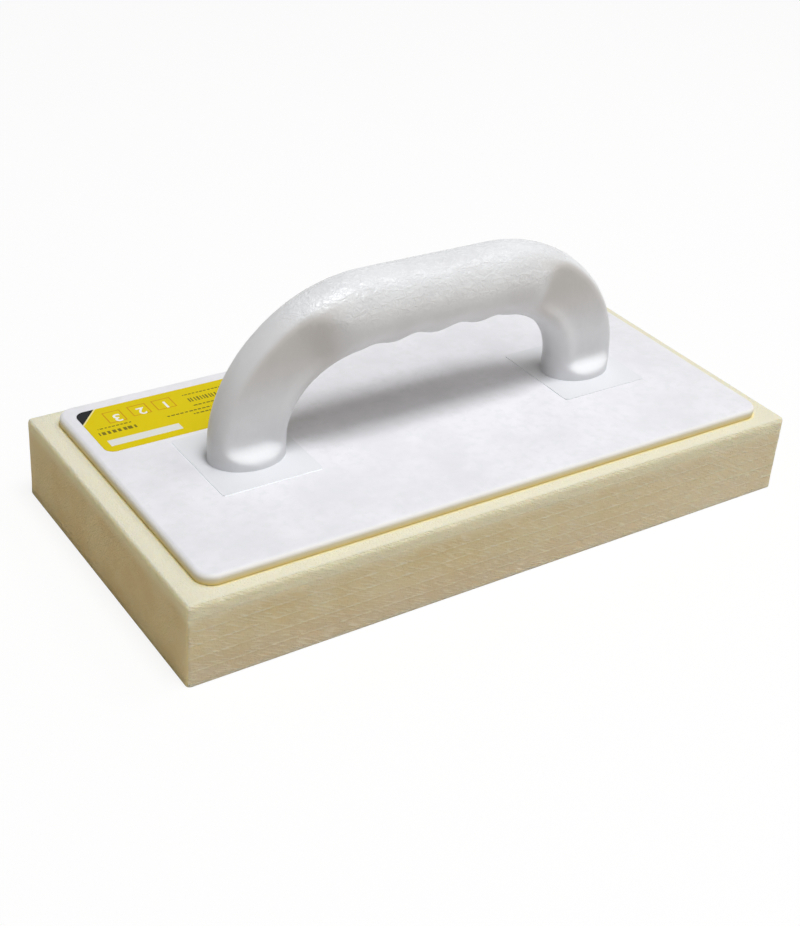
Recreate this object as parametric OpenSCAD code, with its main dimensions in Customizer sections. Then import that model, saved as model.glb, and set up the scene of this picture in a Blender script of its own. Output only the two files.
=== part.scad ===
// Sponge float for plaster and render: a foam block glued under a plastic board, with an arched grip handle.
// Millimetres. X runs along the length, Y across, Z up from the working face of the sponge.

/* [Sponge] */
// Length of the sponge block
sponge_l = 280; // [220:1:400]
// Width of the sponge block
sponge_w = 140; // [120:1:200]
// Thickness of the sponge block
sponge_t = 34.5; // [15:0.5:60]
// Radius of the sponge's upright corner edges
sponge_corner_r = 1.5; // [1.5:0.5:6]
// Rounding of the sponge's top rim
sponge_rim_r = 1; // [0.5:0.5:1]

/* [Board] */
// Bare sponge left in front of each end of the board
end_rim = 9; // [4:0.5:15]
// Bare sponge left along each side of the board
side_rim = 6.5; // [4:0.5:10]
// Thickness of the board
board_t = 4.2; // [3:0.1:8]
// Radius of the board's corners, seen from above
board_corner_r = 7; // [3:0.5:15]
// Rounding of the board's top edge
board_edge_r = 1.8; // [0.5:0.1:2.5]

/* [Glue layer] */
// Thickness of the glue between board and sponge
glue_t = 0.3; // [0.1:0.1:1]
// How far the glue stays back from the board's edge
glue_inset = 3; // [1:0.5:10]

/* [Handle] */
// Distance between the middles of the two legs
leg_span = 160; // [150:1:170]
// Height of the grip's middle line over the board
grip_height = 51.9; // [48:0.1:70]
// Length of the grip that runs straight
grip_flat = 60; // [40:1:80]
// Height of the grip's oval section
grip_section_h = 31.4; // [24:0.2:34]
// Depth of the grip's oval section, front to back
grip_section_d = 27.6; // [22:0.2:34]
// In-plane thickness of the handle at the middle of each bend
bend_section_h = 30.1; // [24:0.1:34]
// Depth of the handle at the middle of each bend
bend_section_d = 26; // [20:0.2:34]
// Length of each leg's foot along the board
foot_section_l = 31.6; // [24:0.2:38]
// Depth of each leg's foot, front to back
foot_section_d = 24.2; // [18:0.2:34]
// Height over the board at which the legs start to bend
leg_straight = 7; // [3:0.5:15]

/* [Finger grooves] */
// Number of finger grooves under the grip
finger_count = 4; // [2:1:5]
// Distance from one finger groove to the next
finger_pitch = 20.5; // [16:0.5:24]
// Depth of each finger groove
finger_depth = 1.9; // [0:0.1:3]

/* [Arm hollows] */
// Depth of the long flat-bottomed hollow in each face of each arm
hollow_depth = 5.4; // [0:0.1:5.5]
// Rounding where the hollow's floor meets the arm's outer side
hollow_edge = 1.6; // [0.2:0.1:2]
// Where the floor starts to rise on the inside of the arch, from 0 on the arm's middle line to 1 on its edge
hollow_inner_start = 0.3; // [0:0.01:0.5]
// Where the hollow ends on the inside of the arch, on the same scale
hollow_inner_end = 0.95; // [0.6:0.01:1]
// Turn of the bend, in degrees, at which the hollow starts
hollow_start = 13; // [5:1:40]
// Turn of the bend over which the hollow reaches its depth
hollow_lead = 23; // [8:1:40]
// Height over the board at which the hollow ends
hollow_foot = 2; // [2:0.5:20]
// Height of the ramp at the hollow's lower end
hollow_ramp = 6.5; // [3:0.5:15]

/* [Handle feet] */
// Length of each square foot plate
pad_l = 42.6; // [40:0.2:46]
// Width of each square foot plate
pad_w = 43.6; // [36:0.2:46]
// Depth of the pocket that the foot plate sits in
pocket_depth = 2.2; // [1:0.1:2.6]
// How far the foot plate stands over the board
pad_proud = 0.3; // [0.1:0.1:1]
// Gap between the foot plate and the pocket's wall
pad_gap = 0.05; // [0.05:0.05:0.5]
// Radius of the foot plate's corners
pad_corner_r = 1.5; // [0.5:0.5:4]

/* [Label] */
// Length of the label
label_l = 80; // [40:1:90]
// Thickness of the label
label_t = 0.15; // [0.1:0.05:0.3]
// Radius of the label's corners
label_corner_r = 4; // [1:0.5:6]
// Distance from the board's end to the label
label_end_gap = 5.3; // [3:0.1:12]
// Distance from the board's back edge to the label
label_side_gap = 6.5; // [3:0.5:8]
// Distance from the handle's foot plate to the label
label_foot_gap = 2.7; // [1:0.1:8]

/* [Hidden] */
$fn = 64;

// Heights, from the working face up
board_z = sponge_t + glue_t;
board_top = board_z + board_t;
grip_z = board_top + grip_height;
knee_z = board_top + leg_straight;
pad_z = board_top - pocket_depth;

// The board follows the sponge, and the glue follows the board
board_l = sponge_l - 2 * end_rim;
board_w = sponge_w - 2 * side_rim;
glue_l = board_l - 2 * glue_inset;
glue_w = board_w - 2 * glue_inset;
glue_corner_r = board_corner_r / 2;

// The label fills the strip between the handle's foot plate and the board's back edge
label_w = board_w / 2 - label_side_gap - pad_w / 2 - label_foot_gap;

// The arch's middle line: half a flat, a quarter of an ellipse and a straight leg
leg_x = leg_span / 2;
bend_reach = leg_x - grip_flat / 2;
bend_rise = grip_z - knee_z;
leg_root_z = pad_z + pocket_depth / 2;

// Steps of the loft along half the arch, and round each ring
flat_steps = 12;
bend_steps = 30;
leg_steps = 6;
ring_steps = 44;

// 0 before a, 1 after b, and a smooth rise between them
function ease(a, b, x) = let (k = min(1, max(0, (x - a) / (b - a)))) k * k * (3 - 2 * k);

// A value that goes from the grip's, over the middle of the bend's, to the foot's
function blend3(grip, bend, foot, turn) =
    turn < 45 ? grip + (bend - grip) * turn / 45 : bend + (foot - bend) * (turn - 45) / 45;

// One station of the half arch: [x, z, turn of the bend in degrees, length along the arch from the middle]
function flat_station(i) = let (x = grip_flat / 2 * i / flat_steps) [x, grip_z, 0, x];
function bend_station(i) =
    let (
        t = 90 * i / bend_steps,
        x = grip_flat / 2 + bend_reach * sin(t)
    )
    [x, knee_z + bend_rise * cos(t), t, x];
function leg_station(i) = [leg_x, knee_z + (leg_root_z - knee_z) * i / leg_steps, 90, leg_x];

half_arch = concat(
    [for (i = [0 : flat_steps - 1]) flat_station(i)],
    [for (i = [0 : bend_steps]) bend_station(i)],
    [for (i = [1 : leg_steps]) leg_station(i)]
);

// Depth of the finger grooves along the grip: a wave with a groove for each finger, ending smoothly
grooved_half = finger_count * finger_pitch / 2;
function finger_wave(x) =
    let (
        shift = finger_count % 2 == 0 ? 180 : 0,
        wave = (1 + cos(360 * x / finger_pitch + shift)) / 2
    )
    wave * (1 - ease(grooved_half - finger_pitch, grooved_half, abs(x)));

// 0 below -r, x above r, and a round blend between them
function soft_over(x, r) = x > r ? x : x < -r ? 0 : (x + r) * (x + r) / (4 * r);

// How deep the hollow's floor lies under the arm's crown, at a turn of the bend and a height
function floor_depth(turn, z) =
    let (foot = board_top + hollow_foot)
    hollow_depth
        * ease(hollow_start, hollow_start + hollow_lead, turn)
        * ease(foot, foot + hollow_ramp, z);

// What the hollow takes off the arm's face. full is half the arm's depth there, crown is half its depth at
// the middle line, and c runs from -1 on the inside of the arch to 1 on its outside
function hollow_cut(full, crown, depth, c) =
    soft_over(full - crown + depth, min(hollow_edge, depth))
        * (1 - ease(hollow_inner_start, hollow_inner_end, -c));

// One ring of the loft: an oval square to the arch, with the grooves and hollows taken off it
function ring(st, side) =
    let (
        turn = st[2],
        out = [bend_rise * sin(turn), bend_reach * cos(turn)],
        n = out / norm(out),
        half_h = blend3(grip_section_h, bend_section_h, foot_section_l, turn) / 2,
        half_d = blend3(grip_section_d, bend_section_d, foot_section_d, turn) / 2,
        groove = finger_depth * finger_wave(side * st[3]),
        depth = floor_depth(turn, st[1])
    )
    [for (j = [0 : ring_steps - 1])
        let (
            a = 360 * j / ring_steps,
            c = cos(a),
            h = half_h * c + groove * ease(0, 1, -c),
            full = half_d * abs(sin(a)),
            cut = depth > 0 ? hollow_cut(full, half_d, depth, c) : 0,
            d = sign(sin(a)) * (full - cut)
        )
        [side * (st[0] + n[0] * h), d, st[1] + n[1] * h]];

module arch() {
    last = len(half_arch) - 1;
    rings = concat(
        [for (i = [last : -1 : 1]) ring(half_arch[i], -1)],
        [for (i = [0 : last]) ring(half_arch[i], 1)]
    );
    count = len(rings);
    points = [for (r = rings, p = r) p];
    skin = [for (i = [0 : count - 2], j = [0 : ring_steps - 1])
        let (
            k = (j + 1) % ring_steps,
            p = i * ring_steps + j,
            q = i * ring_steps + k,
            r = p + ring_steps,
            s = q + ring_steps
        )
        each [[p, s, r], [p, q, s]]];
    first_cap = [for (j = [1 : ring_steps - 2]) [0, j + 1, j]];
    base = (count - 1) * ring_steps;
    last_cap = [for (j = [1 : ring_steps - 2]) [base, base + j, base + j + 1]];
    polyhedron(points, concat(skin, first_cap, last_cap), convexity = 8);
}

// A flat plate with rounded corners, seen from above
module rounded_rectangle(l, w, r) {
    square([l - 2 * r, w], center = true);
    square([l, w - 2 * r], center = true);
    for (x = [-1, 1], y = [-1, 1])
        translate([x * (l / 2 - r), y * (w / 2 - r)])
            circle(r);
}

// Upright section of half a slab, from its middle out, with its top edge rounded
module half_section(half_w, t, edge_r) {
    square([half_w, t - edge_r]);
    square([half_w - edge_r, t]);
    translate([half_w - edge_r, t - edge_r])
        intersection() {
            circle(edge_r);
            square(edge_r);
        }
}

module full_section(w, t, edge_r) {
    half_section(w / 2, t, edge_r);
    mirror([1, 0]) half_section(w / 2, t, edge_r);
}

// A slab that stands on Z = 0, with rounded corners and a rounded top edge
module soft_slab(l, w, t, corner_r, edge_r) {
    rotate([90, 0, 90]) linear_extrude(l - 2 * corner_r, center = true) full_section(w, t, edge_r);
    rotate([90, 0, 0]) linear_extrude(w - 2 * corner_r, center = true) full_section(l, t, edge_r);
    for (x = [-1, 1], y = [-1, 1])
        translate([x * (l / 2 - corner_r), y * (w / 2 - corner_r), 0])
            rotate_extrude() half_section(corner_r, t, edge_r);
}

module sponge() {
    color([0.93, 0.87, 0.64])
        soft_slab(sponge_l, sponge_w, sponge_t, sponge_corner_r, sponge_rim_r);
}

module glue_layer() {
    color([0.86, 0.78, 0.45])
        translate([0, 0, sponge_t])
            linear_extrude(glue_t)
                rounded_rectangle(glue_l, glue_w, glue_corner_r);
}

module board() {
    color([0.93, 0.93, 0.95])
        difference() {
            translate([0, 0, board_z])
                soft_slab(board_l, board_w, board_t, board_corner_r, board_edge_r);
            for (side = [-1, 1])
                translate([side * leg_x, 0, pad_z])
                    linear_extrude(board_t)
                        rounded_rectangle(pad_l + 2 * pad_gap, pad_w + 2 * pad_gap, pad_corner_r + pad_gap);
        }
}

module handle() {
    color([0.9, 0.91, 0.93]) {
        arch();
        for (side = [-1, 1])
            translate([side * leg_x, 0, pad_z])
                linear_extrude(pocket_depth + pad_proud)
                    rounded_rectangle(pad_l, pad_w, pad_corner_r);
    }
}

module label() {
    color([0.9, 0.78, 0.1])
        translate([
            -board_l / 2 + label_end_gap + label_l / 2,
            board_w / 2 - label_side_gap - label_w / 2,
            board_top
        ])
            linear_extrude(label_t)
                rounded_rectangle(label_l, label_w, label_corner_r);
}

sponge();
glue_layer();
board();
handle();
label();
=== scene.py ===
# %% [markdown]
# # A sponge float for plaster
# The tool is a block of foam glued under a white plastic board, with an arched plastic handle on top.
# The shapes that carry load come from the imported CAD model, which is loaded first and never moved.
# Blender adds what CAD leaves out: the soft foam, the finish of each surface, the light and the camera.

import math

import bpy
from mathutils import Matrix, Vector, noise


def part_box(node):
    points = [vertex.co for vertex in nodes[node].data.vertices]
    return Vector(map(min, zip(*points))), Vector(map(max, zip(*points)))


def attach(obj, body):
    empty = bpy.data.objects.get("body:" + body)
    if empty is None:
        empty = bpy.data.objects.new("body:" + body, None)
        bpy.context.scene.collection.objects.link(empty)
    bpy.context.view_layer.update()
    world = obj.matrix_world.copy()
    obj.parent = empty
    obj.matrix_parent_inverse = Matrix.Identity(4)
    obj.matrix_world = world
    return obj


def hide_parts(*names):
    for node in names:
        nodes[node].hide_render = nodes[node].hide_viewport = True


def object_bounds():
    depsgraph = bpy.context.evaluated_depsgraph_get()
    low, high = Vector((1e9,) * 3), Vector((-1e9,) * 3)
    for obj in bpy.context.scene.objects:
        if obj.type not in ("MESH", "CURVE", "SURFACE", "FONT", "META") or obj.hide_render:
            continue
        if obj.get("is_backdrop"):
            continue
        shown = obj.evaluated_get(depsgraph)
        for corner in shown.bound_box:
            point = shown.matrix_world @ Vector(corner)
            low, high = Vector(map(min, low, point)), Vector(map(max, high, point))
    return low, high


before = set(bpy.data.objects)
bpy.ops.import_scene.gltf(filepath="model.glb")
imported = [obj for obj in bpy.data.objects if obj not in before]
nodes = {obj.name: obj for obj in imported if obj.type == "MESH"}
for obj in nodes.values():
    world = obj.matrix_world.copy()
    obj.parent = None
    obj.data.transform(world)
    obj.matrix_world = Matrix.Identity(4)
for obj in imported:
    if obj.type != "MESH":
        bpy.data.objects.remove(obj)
cad_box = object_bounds()
mm = 0.001
print("CAD nodes:", sorted(nodes))
print("CAD box in mm:", [[round(v / mm, 2) for v in corner] for corner in cad_box])

# %% [markdown]
# ## The camera
# The photograph was taken from the front left and from above, with the camera turned by a few degrees.
# An empty with a Track To constraint would aim the camera but can't hold that small turn. So its three
# axes are worked out here from azimuth, elevation and roll, and go straight into its matrix.

# %% Camera
def camera_axes(azimuth, elevation, roll):
    a, e, r = (math.radians(v) for v in (azimuth, elevation, roll))
    back = Vector((math.sin(a) * math.cos(e), -math.cos(a) * math.cos(e), math.sin(e)))
    level = Vector((math.cos(a), math.sin(a), 0))
    upright = back.cross(level)
    right = level * math.cos(r) + upright * math.sin(r)
    up = upright * math.cos(r) - level * math.sin(r)
    return right, up, back


scene = bpy.context.scene
right, up, back = camera_axes(azimuth=-36.684, elevation=30.526, roll=5.076)
look_at = Vector((9.883, 6.739, 20)) * mm
distance = 655.168 * mm
camera = bpy.data.objects.new("photo_camera", bpy.data.cameras.new("photo_camera"))
camera.data.sensor_width = 36
camera.data.lens = 60.72
camera.data.shift_x = -0.03
camera.data.shift_y = -0.03
place = Matrix((right, up, back)).transposed().to_4x4()
place.translation = look_at + back * distance
camera.matrix_world = place
scene.collection.objects.link(camera)
scene.camera = camera
scene.view_settings.view_transform = "Standard"
print("camera stands at, in mm:", [round(v / mm) for v in place.translation])

# %% [markdown]
# ## Shader maths as Python
# A material that varies over a surface is a formula, and drawn as boxes and wires it is hard to read.
# The class below wraps one output of a node, so that `1 - mask` or `x * 0.5` adds the Math node for it.
# Every other node comes from its one method, which takes the node's type, its settings and its sockets.

# %% A wire that does maths
class Wire:
    def __init__(self, tree, socket=None):
        self.tree, self.socket = tree, socket

    def node(self, kind, settings=None, sockets=None, out=0):
        made = self.tree.nodes.new(kind)
        for name, value in (settings or {}).items():
            setattr(made, name, value)
        for name, value in (sockets or {}).items():
            if isinstance(value, Wire):
                self.tree.links.new(value.socket, made.inputs[name])
            else:
                made.inputs[name].default_value = value
        return Wire(self.tree, made.outputs[out] if made.outputs else None)

    def maths(self, operation, first, second=0.0):
        return self.node("ShaderNodeMath", {"operation": operation}, {0: first, 1: second})

    def __add__(self, other):
        return self.maths("ADD", self, other)

    def __radd__(self, other):
        return self.maths("ADD", other, self)

    def __sub__(self, other):
        return self.maths("SUBTRACT", self, other)

    def __rsub__(self, other):
        return self.maths("SUBTRACT", other, self)

    def __mul__(self, other):
        return self.maths("MULTIPLY", self, other)

    def __gt__(self, other):
        return self.maths("GREATER_THAN", self, other)

    def __lt__(self, other):
        return self.maths("LESS_THAN", self, other)

    def __mod__(self, other):
        return self.maths("FLOORED_MODULO", self, other)

    def __abs__(self):
        return self.maths("ABSOLUTE", self)

    def or_more(self, other):
        """The larger of the two, which for two masks is where either one is."""
        return self.maths("MAXIMUM", self, other)

    def rise(self, start, end):
        """0 up to start, 1 from end on, and a smooth step in between."""
        sockets = {"Value": self, "From Min": start, "From Max": end}
        return self.node("ShaderNodeMapRange", {"interpolation_type": "SMOOTHSTEP"}, sockets)

    def parts(self):
        made = self.node("ShaderNodeSeparateXYZ", {}, {"Vector": self})
        return [Wire(self.tree, socket) for socket in made.socket.node.outputs]

    def scaled(self, x, y, z):
        sockets = {0: self, 1: (x, y, z)}
        return self.node("ShaderNodeVectorMath", {"operation": "MULTIPLY"}, sockets)

    def between(self, low, high):
        """The colour low where this is 0, high where it is 1, and their mix in between."""
        ends = {6: low, 7: high}
        ends = {k: v if isinstance(v, Wire) else (*v[:3], 1) for k, v in ends.items()}
        return self.node("ShaderNodeMix", {"data_type": "RGBA"}, {0: self, **ends}, out=2)


def linear(red, green, blue):
    """A colour as an eye reads it, 0 to 255, in the linear values that a shader takes."""
    shares = [v / 255 for v in (red, green, blue)]
    return tuple(v / 12.92 if v < 0.04045 else ((v + 0.055) / 1.055) ** 2.4 for v in shares)


# %% [markdown]
# ## The studio
# The photograph has a white ground and one soft lamp almost straight above, a little to the front.
# It lays a clear but soft-edged shadow of the grip on the board. A second, wider lamp in front of it
# draws that shadow out to the back, and a weak one on the right turns the left of each arm grey.
# The floor throws warm light up at all sides.
# The ground is white only for the camera and for reflections, which Light Path tells apart.
# For other rays the floor is light grey and the world dim, so white ground doesn't flood the object.

# %% White ground, with the object's shadow on it
def seen_directly(wire):
    path = wire.node("ShaderNodeLightPath").socket.node
    camera_ray, glossy_ray, clear_ray = (
        Wire(wire.tree, path.outputs[name])
        for name in ("Is Camera Ray", "Is Glossy Ray", "Is Transmission Ray")
    )
    return camera_ray.or_more(glossy_ray).or_more(clear_ray)


world = bpy.data.worlds.new("studio")
scene.world = world
world.use_nodes = True
world.node_tree.nodes.clear()
air = Wire(world.node_tree)
dim_light = air.node("ShaderNodeBackground", {}, {"Color": (1, 0.93, 0.8, 1), "Strength": 0.12})
white = air.node("ShaderNodeBackground", {}, {"Color": (1, 1, 1, 1), "Strength": 1})
backdrop = air.node("ShaderNodeMixShader", {}, {0: seen_directly(air), 1: dim_light, 2: white})
air.node("ShaderNodeOutputWorld", {}, {"Surface": backdrop})

floor_paint = bpy.data.materials.new("white_floor")
floor_paint.use_nodes = True
floor_paint.node_tree.nodes.clear()
ground = Wire(floor_paint.node_tree)
grey = ground.node("ShaderNodeBsdfDiffuse", {}, {"Color": (0.76, 0.71, 0.63, 1)})
pale = ground.node("ShaderNodeBsdfDiffuse", {}, {"Color": (1, 1, 1, 1)})
glow = ground.node("ShaderNodeEmission", {}, {"Color": (1, 1, 1, 1), "Strength": 1})
shaded_white = ground.node("ShaderNodeMixShader", {}, {0: 0.88, 1: pale, 2: glow})
looks = {0: seen_directly(ground), 1: grey, 2: shaded_white}
floor_look = ground.node("ShaderNodeMixShader", {}, looks)
ground.node("ShaderNodeOutputMaterial", {}, {"Surface": floor_look})

floor_mesh = bpy.data.meshes.new("floor")
reach, gap = 4, 0.05 * mm
corners = [(-reach, -reach, -gap), (reach, -reach, -gap), (reach, reach, -gap), (-reach, reach, -gap)]
floor_mesh.from_pydata(corners, [], [(0, 1, 2, 3)])
floor_mesh.materials.append(floor_paint)
floor = bpy.data.objects.new("floor", floor_mesh)
scene.collection.objects.link(floor)
floor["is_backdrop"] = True

# %% Softboxes
def softbox(name, place, size, strength, colour):
    """An area lamp aimed at the tool. strength is how bright white paper facing it looks: 1 is white."""
    aim = Vector((0, 0, 40 * mm))
    away = Vector(place) - aim
    lamp = bpy.data.lights.new(name, "AREA")
    lamp.shape = "SQUARE"
    lamp.size = size
    lamp.energy = strength * math.pi**2 * away.length_squared
    lamp.color = colour
    holder = bpy.data.objects.new(name, lamp)
    holder.location = place
    holder.rotation_euler = away.to_track_quat("Z", "Y").to_euler()
    scene.collection.objects.link(holder)
    print(name, "gives", round(lamp.energy, 1), "W from", round(away.length, 2), "m")


softbox("top_softbox", (0.09, -0.35, 2.01), 0.55, 0.6, (0.96, 0.98, 1))
softbox("front_softbox", (0, -1, 1.77), 0.9, 0.19, (0.99, 1, 1))
softbox("right_softbox", (1.1, -0.2, 1.7), 0.6, 0.15, (1, 0.99, 0.97))

# %% [markdown]
# ## The foam block
# The real block is cut from a big bun of polyurethane foam with a saw, so its edges are soft, its long
# sides keep fine saw lines, and no side is perfectly flat. A cube with a Bevel modifier would show its
# outline but stay dead flat. Here the side is built as rows and columns of points round the outline,
# and each point is pushed in by a little smooth noise. The mesh replaces the plain CAD solid and stays
# inside it.

# %% Outline of a rounded rectangle
def outline(half_x, half_y, radius, step):
    """Points round a rounded rectangle, each with the direction that faces outwards."""
    found = []
    turns = 6
    for corner, (side_x, side_y) in enumerate([(1, -1), (1, 1), (-1, 1), (-1, -1)]):
        middle = Vector((side_x * (half_x - radius), side_y * (half_y - radius)))
        for k in range(turns + 1):
            angle = math.radians(90 * (corner - 1) + 90 * k / turns)
            face = Vector((math.cos(angle), math.sin(angle)))
            found.append((middle + face * radius, face))
        run = 2 * (half_y if corner % 2 == 0 else half_x) - 2 * radius
        count = round(run / step)
        start, face = found[-1]
        along = Vector((-face.y, face.x))
        found += [(start + along * run * k / count, face) for k in range(1, count)]
    return found


half_x, half_y, foam_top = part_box("sponge")[1] / mm
edge = outline(half_x, half_y, radius=1.7, step=2)
print("foam outline:", len(edge), "points round", round(2 * half_x), "x", round(2 * half_y), "mm")

# %% Rows from the sole up to the middle of the top
# Each row is a share of the outline's size, how far it is inset, and its height.
rim_r, rim_drop, sole_r = 1.2, 2.1, 0.4
side_rows, rim_rows = 26, 7
rows = [(share, 0, 0) for share in (0.02, 0.5, 0.85)]
for a in (0, 0.5, 1.0, math.pi / 2):
    rows.append((1, sole_r * (1 - math.sin(a)), sole_r * (1 - math.cos(a))))
for k in range(1, side_rows):
    rows.append((1, 0, sole_r + (foam_top - rim_drop - sole_r) * k / side_rows))
for k in range(rim_rows):
    a = math.pi / 2 * k / (rim_rows - 1)
    rows.append((1, rim_r * (1 - math.cos(a)), foam_top - rim_drop * (1 - math.sin(a))))
rows += [(share, rim_r, foam_top) for share in (0.97, 0.94, 0.9, 0.5, 0.02)]
print("foam rows:", len(rows))

# %% Points, pushed in by a little noise
long_wave, short_wave = 0.12, 0.05
points = []
for share, inset, height in rows:
    for spot, face in edge:
        flat = (spot - face * inset) * share
        at = Vector((flat.x, flat.y, height))
        if share == 1:
            wave = noise.noise(at / 26) * long_wave + noise.noise(at / 7) * short_wave
            fade = min(1, height / 6)
            at -= Vector((face.x, face.y, 0)) * (long_wave + short_wave + wave) * fade
        points.append(at * mm)

# %% Faces between the rows, and the finished block
round_count = len(edge)
faces = [
    (r * round_count + c, r * round_count + (c + 1) % round_count,
     (r + 1) * round_count + (c + 1) % round_count, (r + 1) * round_count + c)
    for r in range(len(rows) - 1)
    for c in range(round_count)
]
faces.append(tuple(reversed(range(round_count))))
faces.append(tuple((len(rows) - 1) * round_count + c for c in range(round_count)))

foam_mesh = bpy.data.meshes.new("foam_block")
foam_mesh.from_pydata(points, [], faces)
foam_mesh.shade_smooth()
foam = bpy.data.objects.new("foam_block", foam_mesh)
scene.collection.objects.link(foam)
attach(foam, "root")
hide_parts("sponge")
print("foam block:", len(points), "points,", len(faces), "faces")

# %% [markdown]
# ## The foam's finish
# Foam isn't one colour. Light sinks in at the top edge and comes out of the sides, and that glow is
# painted
# into the colour: pale near the top and the upright edges, and tan lower down. The long sides also turn
# grey towards the sole and pale towards the right. The foam's top turns deep yellow in a thin line round
# the board. The long sides keep a line from each step of the saw, 5.6 mm apart, with short slanted
# scratches in between.
# A picture wrapped round the block would be the usual way. Here every mask is worked out from where a
# point lies on the block, in millimetres, and from which way its surface faces, with no unwrapping.

# %% Places and grain that every finish uses
def start_finish(name):
    made = bpy.data.materials.new(name)
    made.use_nodes = True
    made.node_tree.nodes.clear()
    return made, Wire(made.node_tree)


def place_in_mm(wire):
    spot = wire.node("ShaderNodeTexCoord", {}, {}, out="Object")
    return spot.scaled(1000, 1000, 1000)


def facing(wire):
    return wire.node("ShaderNodeTexCoord", {}, {}, out="Normal").parts()


def grain(spot, size, detail=2.0, roughness=0.5, distortion=0.0):
    """Smooth noise from 0 to 1 whose blotches are about size mm across."""
    sockets = {"Vector": spot, "Scale": 1 / size, "Detail": detail,
               "Roughness": roughness, "Distortion": distortion}
    return spot.node("ShaderNodeTexNoise", {}, sockets)


def relief(wire, height_mm):
    return wire.node("ShaderNodeBump", {}, {"Height": height_mm, "Distance": mm}, out="Normal")


def shade(wire, sockets):
    shader = wire.node("ShaderNodeBsdfPrincipled", {}, sockets)
    wire.node("ShaderNodeOutputMaterial", {}, {"Surface": shader})


def dress(piece, finish):
    piece.data.materials.clear()
    piece.data.materials.append(finish)
    print(piece.name, "is finished in", finish.name)


# %% Where the foam is pale, tan or yellow
foam_finish, art = start_finish("pale_foam")
spot = place_in_mm(art)
x, y, z = spot.parts()
face_x, face_y, face_z = facing(art)
long_side = abs(face_y).rise(0.6, 0.8)
on_top = face_z.rise(0.35, 0.85)
on_sole = face_z.rise(-0.5, -0.9)

from_long_end = half_x - abs(x)
from_short_end = half_y - abs(y)
# Painted glow: the sides are painted paler near the top edge and the upright edges, where light comes
# back out of the foam.
painted_glow_long = z.rise(foam_top - 10.5, foam_top - 3) + from_long_end.rise(7, 0) * 0.35
painted_glow_short = z.rise(foam_top - 9, foam_top - 1) * 0.9 + from_short_end.rise(10, 0) * 0.4

blotch = grain(spot, 18, detail=3)
speck = grain(spot, 1.1, detail=3, roughness=0.7)
tan_long = blotch.rise(0.35, 0.65).between(linear(232, 214, 170), linear(237, 223, 186))
tan_short = blotch.rise(0.35, 0.65).between(linear(236, 213, 161), linear(241, 222, 173))
painted_glow_colour_long, painted_glow_colour_short = linear(248, 240, 212), linear(250, 240, 202)
near_sole, to_right = z.rise(18, 3) * 0.6, x.rise(-20, 120) * 0.7
tan_long = near_sole.between(tan_long, linear(219, 201, 178))
tan_long = to_right.between(tan_long, linear(242, 228, 197))
side_long = painted_glow_long.rise(0, 1).between(tan_long, painted_glow_colour_long)
side_short = painted_glow_short.rise(0, 1).between(tan_short, painted_glow_colour_short)
side = long_side.between(side_short, side_long)

# %% Saw lines on the long sides
def from_nearest(height, step):
    """How far a height is from the nearest whole number of steps."""
    return abs((height + step / 2) % step - step / 2)


saw_step, first_line = 5.6, 0.9
wander = grain(spot.scaled(0.03, 0, 0), 1, detail=2) - 0.5
saw_height = z + wander * 0.8 - first_line
worn = grain(spot.scaled(0.12, 0, 0.3), 1, detail=2).rise(0.3, 0.6)
line = from_nearest(saw_height, saw_step).rise(0.5, 0.05) * (worn * 0.7 + 0.3)
under_line = from_nearest(saw_height + 0.9, saw_step).rise(0.8, 0)
slant = z + x * math.tan(math.radians(25))
scratch_place = art.node("ShaderNodeCombineXYZ", {}, {"X": x * 0.13, "Y": y * 0.13, "Z": slant})
scratches = grain(scratch_place, 0.75, detail=3, roughness=0.6).rise(0.43, 0.67)
saw = (line * 0.9 + scratches - under_line * 0.3) * long_side
saw_side = (saw * 0.6).rise(0, 1).between(side, linear(252, 244, 220))

# %% Yellow line round the board, and the foam's top
board_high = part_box("board")[1] / mm
board_r = 7
past_x = (abs(x) - (board_high.x - board_r)).or_more(0)
past_y = (abs(y) - (board_high.y - board_r)).or_more(0)
from_board = art.maths("SQRT", past_x * past_x + past_y * past_y) - board_r
# The foam's top is painted deep yellow in a thin line round the board.
yellow_line_round_board = from_board.rise(1.3, 0.2) * on_top
rim = speck.between(linear(227, 222, 198), linear(237, 232, 210))
top = (yellow_line_round_board * 0.7).between(rim, linear(255, 238, 168))
foam_colour = on_sole.between(on_top.between(saw_side, top), linear(238, 227, 192))

# %% Pores, and the finished foam
pore_size = 0.9
pore_sockets = {"Vector": spot, "Scale": 1 / pore_size, "Randomness": 1}
pores = art.node("ShaderNodeTexVoronoi", {}, pore_sockets, out="Distance")
cell_walls = pores.rise(0.1, 0.6)
foam_height = cell_walls * 0.1 + speck * 0.18 + saw * 0.32
foam_sockets = {
    "Base Color": foam_colour,
    "Roughness": 0.95,
    "Specular IOR Level": 0.15,
    "Subsurface Weight": 0.5,
    "Subsurface Radius": (1, 0.8, 0.5),
    "Subsurface Scale": 5 * mm,
    "Normal": relief(art, foam_height),
}
shade(art, foam_sockets)
dress(foam, foam_finish)

# %% [markdown]
# ## The board
# The board is a sheet of white polyethylene or polystyrene with a rounded top edge. Its shape in CAD is
# right, so the node stays and only gets a finish. CAD exports each flat face with its own points, which
# shades every facet flat. A Weld modifier joins the points, and Edge Split keeps the truly sharp edges.
# Both are modifiers, so the CAD mesh itself isn't changed.

# %% Smooth shading for a CAD node
def smooth_over(piece, sharp_angle):
    if "custom_normal" in piece.data.attributes:
        piece.data.attributes.remove(piece.data.attributes["custom_normal"])
    piece.data.shade_smooth()
    weld = piece.modifiers.new("join_points", "WELD")
    weld.merge_threshold = 0.002 * mm
    split = piece.modifiers.new("keep_sharp_edges", "EDGE_SPLIT")
    split.split_angle = math.radians(sharp_angle)
    print(piece.name, "is shaded smooth up to", sharp_angle, "degrees")


board = nodes["board"]
smooth_over(board, sharp_angle=35)
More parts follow.
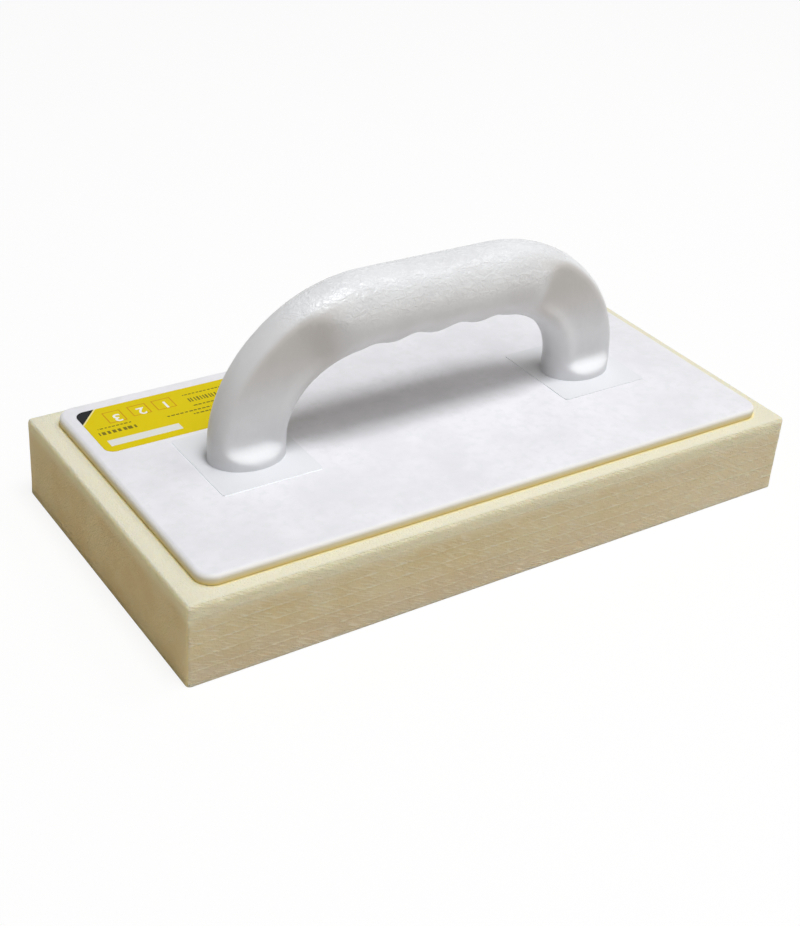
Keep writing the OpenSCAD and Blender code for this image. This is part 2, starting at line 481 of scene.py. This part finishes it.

# %% [markdown]
# Its plastic is cool white with cloudy patches and tiny dents from the mould. Its rounded top edge is
# painted paler as a painted highlight, and the upright edge is painted with light bounced up from the
# foam: cream where it rounds over and deep yellow at the foam.
# White plastic also passes light, so the hairline joint round each foot plate isn't dark. Light that
# scatters that far inside is slow to render, so the joint's walls get a faint painted glow of their own.
# The glow is painted stronger at the joint of the left foot.

# %% Board plastic
board_finish, art = start_finish("white_board_plastic")
spot = place_in_mm(art)
x, y, z = spot.parts()
face_x, face_y, face_z = facing(art)
cloud = grain(spot.scaled(1, 1, 0.2), 22, detail=4, roughness=0.6)
fine_cloud = grain(spot.scaled(1, 1, 0.2), 3.5, detail=4, roughness=0.65)
white_plastic = cloud.rise(0.3, 0.7).between(linear(232, 231, 236), linear(241, 240, 245))
white_plastic = (fine_cloud.rise(0.45, 0.7) * 0.6).between(white_plastic, linear(229, 230, 233))
board_top = board_high.z
# Painted highlight: the rounded top edge is painted paler.
painted_edge_highlight = face_z.rise(0.97, 0.6) * (z > board_top - 2)
white_plastic = painted_edge_highlight.between(white_plastic, linear(253, 251, 249))
# Painted light: the upright edge is painted with the foam's bounced yellow light, cream above and deep
# yellow at the foam.
painted_bounce_edge = z.rise(board_top - 0.9, board_top - 3.0)
painted_bounce_low = z.rise(board_top - 2.6, board_top - 4.2)
painted_bounce_colour = painted_bounce_low.between(linear(234, 222, 188), linear(238, 214, 140))
board_colour = painted_bounce_edge.between(white_plastic, painted_bounce_colour)

# %% Joint round the foot plates, dents, and the finished board
handle_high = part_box("handle")[1] / mm
plate_half_x, plate_half_y = 21.3, handle_high.y
plate_x = handle_high.x - plate_half_x
dents = grain(spot, 3.2, detail=2).rise(0.62, 0.8) * 0.05
ripple = grain(spot, 30, detail=1) * 0.25
past_plate_x = abs(abs(x) - plate_x) - plate_half_x
past_plate_y = abs(y) - plate_half_y
in_joint = (past_plate_x < 0.15) * (past_plate_y < 0.15) * (abs(face_z) < 0.5)
# The painted glow is stronger at the left foot.
painted_glow_share = (x < 0) * 0.6 + 0.4
board_sockets = {
    "Base Color": board_colour,
    "Emission Color": (in_joint * painted_glow_share).between((0, 0, 0), (0.2, 0.21, 0.22)),
    "Emission Strength": 1,
    "Roughness": 0.34 + fine_cloud * 0.14,
    "Specular IOR Level": 0.3,
    "Normal": relief(art, ripple - dents + fine_cloud * 0.03),
}
shade(art, board_sockets)
dress(board, board_finish)

# %% [markdown]
# ## The glue
# A thin layer of contact glue holds the foam. It stays back from the board's edge, so only a dark slit
# with a yellow film in it shows. Dried glue is amber, a little shiny and uneven.

# %% Glue
glue = nodes["glue_layer"]
glue_finish, art = start_finish("dried_glue")
spot = place_in_mm(art)
lumps = grain(spot, 2.5, detail=3)
glue_sockets = {
    "Base Color": lumps.rise(0.3, 0.7).between(linear(214, 184, 96), linear(232, 210, 140)),
    "Roughness": 0.3 + lumps * 0.3,
    "Normal": relief(art, lumps * 0.2),
}
shade(art, glue_sockets)
dress(glue, glue_finish)

# %% [markdown]
# ## The handle
# The handle is one moulded arch. Its grip has a crinkled, glossy skin that sparkles where the lamp
# catches it, while its arms are satin and smooth, and glossy again at their feet. The CAD loft already
# has the finger grooves and the long hollows in the arms, so it is kept and shaded smooth. The crinkles
# are far too fine for geometry, so they are a Bump that fades out where the grip bends down, and their
# tops are painted paler as painted glints. The hollows are painted a touch greyer, as painted shade, and
# the upward faces of the feet nearly white, as a painted highlight. The foot plates stand a hair over
# the board and match its plastic. Their rounded edge catches the lamp, which a glow on that narrow wall
# stands for.

# %% Where the handle is hollowed, crinkled or glossy
handle = nodes["handle"]
smooth_over(handle, sharp_angle=40)
handle_finish, art = start_finish("white_handle_plastic")
spot = place_in_mm(art)
x, y, z = spot.parts()
face_x, face_y, face_z = facing(art)
grip_end, arm_out = 54, 80
bend_low, bend_high = 85, 97
in_arm = z.rise(60, bend_low) * abs(x).rise(36, grip_end)
hollow = (13 - abs(y)).rise(0, 3.5) * abs(face_y).rise(0.5, 0.97) * in_arm
grip_skin = abs(x).rise(arm_out, grip_end) * z.rise(bend_low, bend_high) * (1 - hollow)
ledge = z.rise(56, 49) * z.rise(board_top + 1.5, board_top + 4)
glossy = grip_skin.or_more(ledge * 0.6)
crinkle = grain(spot.scaled(0.7, 1, 1), 2.0, detail=3, roughness=0.55, distortion=1.2)
haze = grain(spot, 16, detail=3)
satin = grain(spot, 2.0, detail=2)

# %% Handle colour
# Painted glints: the tops of the crinkles are painted paler.
painted_glint_tops = crinkle.rise(0.5, 0.68) * grip_skin * 0.4
handle_colour = haze.rise(0.3, 0.7).between(linear(225, 225, 228), linear(232, 233, 236))
# Painted shade: the hollows of the arms are painted greyer.
handle_colour = (hollow * 0.78).between(handle_colour, linear(205, 201, 198))
handle_colour = painted_glint_tops.between(handle_colour, linear(246, 247, 249))
handle_colour = (z < board_top + 0.5).between(handle_colour, linear(229, 230, 234))
# Painted highlight: the upward faces of the feet's ledges are painted near white.
handle_colour = (ledge * face_z.rise(0.1, 0.6)).between(handle_colour, linear(247, 248, 251))

# %% Glow on the plates' edge, and the finished handle
handle_height = crinkle * grip_skin * 0.45 + satin * 0.03 + haze * 0.3
plate_rim = (abs(abs(x) - plate_x) > plate_half_x - 0.2).or_more(abs(y) > plate_half_y - 0.2)
plate_wall = (z < board_top + 0.35) * (abs(face_z) < 0.5) * plate_rim
# The painted glow on the plates' wall is stronger at the left foot.
painted_glow_share = (x < 0) * 0.65 + 0.35
wall_glow = abs(face_y).between((0.16, 0.17, 0.18), (0.3, 0.32, 0.33))
handle_sockets = {
    "Base Color": handle_colour,
    "Emission Color": (plate_wall * painted_glow_share).between((0, 0, 0), wall_glow),
    "Emission Strength": 1,
    "Roughness": 0.36 - glossy * 0.16 + satin * 0.06,
    "Specular IOR Level": 0.42,
    "Subsurface Weight": 0.12,
    "Subsurface Radius": (1, 1, 1),
    "Subsurface Scale": 3 * mm,
    "Normal": relief(art, handle_height),
}
shade(art, handle_sockets)
dress(handle, handle_finish)

# %% [markdown]
# ## The label
# A yellow film label lies in the back left corner and is read from the back of the tool. A picture file
# would be the usual way, but plain shapes are only a few tests on where a point lies: inside a box,
# or past a slanted line. The print here is generic: a dark corner, three outlined squares, rows of
# dashes in place of words, and an empty pale strip. Places are measured from the label's back left
# corner as it lies, to the right and to the front.

# %% Boxes and dashes in label millimetres
label = nodes["label"]
label_low, label_high = (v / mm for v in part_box("label"))
label_finish, art = start_finish("printed_label_film")
x, y, z = place_in_mm(art).parts()
u = x - label_low.x
v = label_high.y - y


def block(left, top, width, height):
    return (u > left) * (u < left + width) * (v > top) * (v < top + height)


def frame_of(left, top, width, height, line):
    inner = block(left + line, top + line, width - 2 * line, height - 2 * line)
    return block(left, top, width, height) - inner


def dashes(left, top, width, height, pitch, share):
    """A row of dashes that stands for a line of small print."""
    ragged = grain(art.node("ShaderNodeCombineXYZ", {}, {"X": u, "Y": top}), 1.3, detail=1)
    return block(left, top, width, height) * ((u + ragged * 1.2) % pitch < pitch * share)


# %% Label print
yellow = grain(place_in_mm(art), 12).between(linear(218, 196, 0), linear(224, 202, 4))
slant = u + v * 0.9
corner_size, corner_end = 8.4, 9.3
corner_black = slant < corner_size
corner_line = (slant > corner_size) * (slant < corner_end)
square_line = 0.45
square_places = [(9.8, 4.2, 7.4, 8.6), (20.4, 4.0, 7.8, 7.8), (30.8, 4.0, 8.2, 7.8)]
dash_rows = [
    (44.3, 4.9, 17, 0.7, 1.7, 0.7), (44.4, 8.3, 13, 3.0, 1.3, 0.5), (44.5, 14, 10.4, 0.8, 1.9, 0.75),
    (31.5, 17.4, 19.4, 0.8, 1.9, 0.75), (42, 20, 7.5, 0.8, 1.9, 0.75), (3.6, 14.7, 14, 0.7, 1.7, 0.7),
    (2.6, 17.6, 15.6, 2.2, 2.2, 0.7),
]
squares = sum(frame_of(*place, square_line) for place in square_places)
ink = sum(dashes(*row) for row in dash_rows)
strip = block(3.4, 24.2, 30, 4.4)
label_colour = yellow
for mask, colour in [
    (squares * 0.75, linear(196, 120, 20)),
    (strip, linear(226, 226, 220)),
    (ink * 0.8, linear(70, 66, 20)),
    (corner_line, linear(236, 222, 150)),
    (corner_black, linear(16, 16, 20)),
]:
    label_colour = mask.between(label_colour, colour)
label_sockets = {
    "Base Color": label_colour,
    "Roughness": 0.45,
    "Specular IOR Level": 0.1,
    "Normal": relief(art, grain(place_in_mm(art), 9) * 0.08),
}
shade(art, label_sockets)
dress(label, label_finish)

# %% [markdown]
# ## Figures on the label
# Each square holds a white figure. Curved strokes are hard to write as tests on a place, so these are
# text turned into flat meshes and laid on the film. They are plain counting numbers. They are read from
# the back of the tool, so they are turned by half a turn.

# %% White figures
figure_finish, art = start_finish("white_ink")
fibre = grain(place_in_mm(art), 1.5, detail=2)
ink_sockets = {
    "Base Color": fibre.between(linear(232, 232, 228), linear(246, 246, 242)),
    "Roughness": 0.35 + fibre * 0.1,
    "Normal": relief(art, fibre * 0.02),
}
shade(art, ink_sockets)


def figure(text, middle_u, middle_v, height):
    """A figure whose middle is at a place on the label, as a flat mesh just over the film."""
    capital_share, bolder, lift = 0.7, 0.12, 0.02
    letters = bpy.data.curves.new("figure_" + text, "FONT")
    letters.body = text
    letters.size = height / capital_share * mm
    letters.align_x, letters.align_y = "CENTER", "CENTER"
    letters.offset = bolder * mm
    holder = bpy.data.objects.new("figure_text", letters)
    scene.collection.objects.link(holder)
    bpy.context.view_layer.update()
    flat = bpy.data.meshes.new_from_object(holder)
    bpy.data.objects.remove(holder)
    centre = Vector((label_low.x + middle_u, label_high.y - middle_v, label_high.z + lift)) * mm
    flat.transform(Matrix.Translation(centre) @ Matrix.Rotation(math.pi, 4, "Z"))
    piece = bpy.data.objects.new("label_figure_" + text, flat)
    scene.collection.objects.link(piece)
    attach(piece, "root")
    dress(piece, figure_finish)


figure("3", 14.2, 9.6, 5.4)
figure("2", 24.8, 8.9, 5.0)
figure("1", 35.4, 8.6, 5.0)

# %% [markdown]
# ## Sizes
# The box of the CAD model and the box of what is shown now are both printed.

# %% Print the two boxes and finish
shown_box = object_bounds()
sizes = {"cad": [list(c) for c in cad_box], "visual": [list(c) for c in shown_box]}
for name, (low, high) in sizes.items():
    print(name, "box in mm:", [round((b - a) / mm, 2) for a, b in zip(low, high)])
